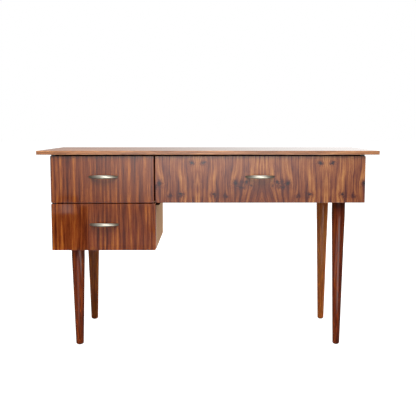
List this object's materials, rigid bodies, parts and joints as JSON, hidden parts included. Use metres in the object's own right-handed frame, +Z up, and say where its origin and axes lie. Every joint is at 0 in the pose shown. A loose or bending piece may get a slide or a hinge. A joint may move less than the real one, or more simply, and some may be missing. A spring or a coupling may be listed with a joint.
{
  "type": "writing desk with drawers",
  "caption": "Mid-century writing desk: thin top, two upper drawers side by side, a lower drawer box hung at the left, bow handles and turned tapered legs.",
  "frame": {"origin": "on the floor, under the middle of the desk's box", "axes": "+Z up, +X to the right of a person facing the drawer fronts, drawers open towards -Y"},
  "size_m": [1.29, 0.5376, 0.76],
  "materials": {
    "back_ply": "stained plywood backs",
    "dark_cleat": "dark-stained wood",
    "desktop_veneer": "satin-lacquered walnut veneer, grain along X",
    "drawer_ply": "birch plywood, lacquered",
    "drawer_wood": "light beech drawer boards, lacquered",
    "figured_veneer": "gloss-lacquered figured walnut veneer, grain along Z",
    "handle_metal": "brushed warm nickel",
    "hardwood": "waxed hardwood",
    "leg_wood": "gloss-lacquered dark reddish-brown turned wood",
    "lipping": "satin-lacquered solid wood edge strip",
    "nylon": "nylon glides",
    "side_veneer": "lacquered walnut veneer",
    "striped_veneer": "gloss-lacquered straight-grained walnut veneer, grain along Z",
    "tan_board": "tan satin-lacquered board",
    "zinc_steel": "zinc-plated steel"
  },
  "bodies": {
    "desk": {"back_panel": "back_ply", "box_back": "back_ply", "box_bottom": "tan_board", "box_cleat_left": "dark_cleat", "box_cleat_right": "dark_cleat", "box_side_left": "side_veneer", "box_side_right": "tan_board", "carcass_bottom": "tan_board", "centre_divider": "tan_board", "drawer_stops": "hardwood", "foot_glides": "nylon", "front_rail": "tan_board", "hanger_bolts": "zinc_steel", "leg_back_left": "leg_wood", "leg_back_right": "leg_wood", "leg_front_left": "leg_wood", "leg_front_right": "leg_wood", "leg_plate_screws": "zinc_steel", "leg_plates": "zinc_steel", "panel_screws": "zinc_steel", "rear_rail": "tan_board", "runner_lower_left_left": "hardwood", "runner_lower_left_right": "hardwood", "runner_right_left": "hardwood", "runner_right_right": "hardwood", "runner_screws": "zinc_steel", "runner_upper_left_left": "hardwood", "runner_upper_left_right": "hardwood", "side_left": "side_veneer", "side_right": "side_veneer", "top_lipping_back": "lipping", "top_lipping_front": "lipping", "top_lipping_left": "lipping", "top_lipping_right": "lipping", "top_panel": "desktop_veneer"},
    "upper_left_drawer": {"upper_left_drawer_back": "drawer_wood", "upper_left_drawer_bottom": "drawer_ply", "upper_left_drawer_front": "striped_veneer", "upper_left_drawer_handle": "handle_metal", "upper_left_drawer_handle_bolts": "zinc_steel", "upper_left_drawer_inner_front": "drawer_wood", "upper_left_drawer_side_left": "drawer_wood", "upper_left_drawer_side_right": "drawer_wood"},
    "right_drawer": {"right_drawer_back": "drawer_wood", "right_drawer_bottom": "drawer_ply", "right_drawer_front": "figured_veneer", "right_drawer_handle": "handle_metal", "right_drawer_handle_bolts": "zinc_steel", "right_drawer_inner_front": "drawer_wood", "right_drawer_side_left": "drawer_wood", "right_drawer_side_right": "drawer_wood"},
    "lower_left_drawer": {"lower_left_drawer_back": "drawer_wood", "lower_left_drawer_bottom": "drawer_ply", "lower_left_drawer_front": "striped_veneer", "lower_left_drawer_handle": "handle_metal", "lower_left_drawer_handle_bolts": "zinc_steel", "lower_left_drawer_inner_front": "drawer_wood", "lower_left_drawer_side_left": "drawer_wood", "lower_left_drawer_side_right": "drawer_wood"}
  },
  "joints": [
    {"name": "upper_left_drawer_slide", "type": "slide", "parent": "desk", "child": "upper_left_drawer", "axis": [0, -1, 0], "range_m": [0, 0.3]},
    {"name": "right_drawer_slide", "type": "slide", "parent": "desk", "child": "right_drawer", "axis": [0, -1, 0], "range_m": [0, 0.3]},
    {"name": "lower_left_drawer_slide", "type": "slide", "parent": "desk", "child": "lower_left_drawer", "axis": [0, -1, 0], "range_m": [0, 0.3]}
  ]
}
